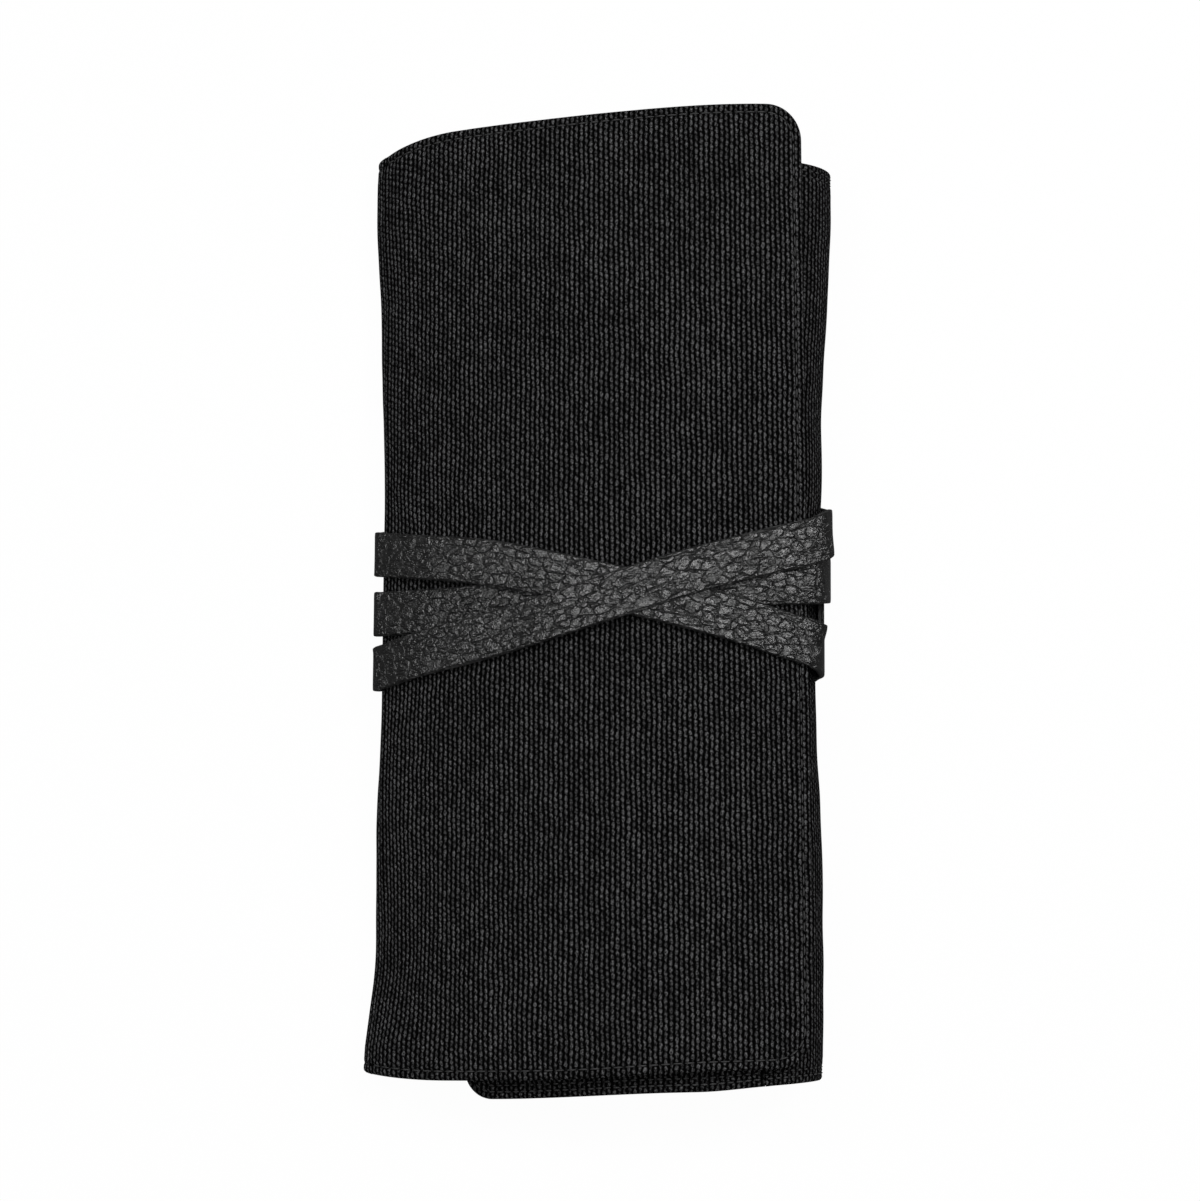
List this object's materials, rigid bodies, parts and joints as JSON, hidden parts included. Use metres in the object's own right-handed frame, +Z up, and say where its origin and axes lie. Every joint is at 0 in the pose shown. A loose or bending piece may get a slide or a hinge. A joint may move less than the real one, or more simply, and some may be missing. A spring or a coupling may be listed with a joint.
{
  "type": "watch roll",
  "caption": "Flat padded canvas watch roll, folded in three and held closed by a narrow leather strap wound round its middle.",
  "frame": {"origin": "centre of the closed roll's box, on the table plane that its back lies on", "axes": "+Y along the folds towards the end where the inner panel is hidden, +X from the left fold to the open right side, +Z up through the flap"},
  "size_m": [0.1218, 0.25, 0.0404],
  "materials": {
    "outer_canvas": "black ribbed cotton canvas",
    "lining_cloth": "smooth black cotton lining",
    "wadding": "soft felted padding",
    "binding_tape": "black woven tape",
    "strap_leather": "black pebbled leather, half gloss"
  },
  "bodies": {
    "back": {"back_canvas": "outer_canvas", "back_padding": "wadding", "back_lining": "lining_cloth", "back_pockets": "lining_cloth", "back_pocket_binding": "binding_tape", "left_fold_canvas": "outer_canvas", "left_fold_lining": "lining_cloth", "right_fold_canvas": "outer_canvas", "right_fold_lining": "lining_cloth", "strap": "strap_leather"},
    "flap": {"flap_canvas": "outer_canvas", "flap_padding": "wadding", "flap_lining": "lining_cloth"},
    "inner_panel": {"inner_panel_canvas": "outer_canvas", "inner_panel_padding": "wadding", "inner_panel_lining": "lining_cloth", "inner_pocket": "lining_cloth", "inner_pocket_binding": "binding_tape"}
  },
  "joints": [
    {"name": "flap_hinge", "type": "hinge", "parent": "back", "child": "flap", "pos_m": [-0.05954, 0, 0.005], "axis": [0, -1, 0], "range_deg": [0, 150], "deforming": ["left_fold_canvas", "left_fold_lining", "strap"]},
    {"name": "inner_panel_hinge", "type": "hinge", "parent": "back", "child": "inner_panel", "pos_m": [0.05146, 0, 0.01458], "axis": [0, 1, 0], "range_deg": [0, 90], "deforming": ["right_fold_canvas", "right_fold_lining"]}
  ],
  "couplings": [
    {"joint": "inner_panel_hinge", "follows": "flap_hinge", "ratio": 0.6}
  ]
}
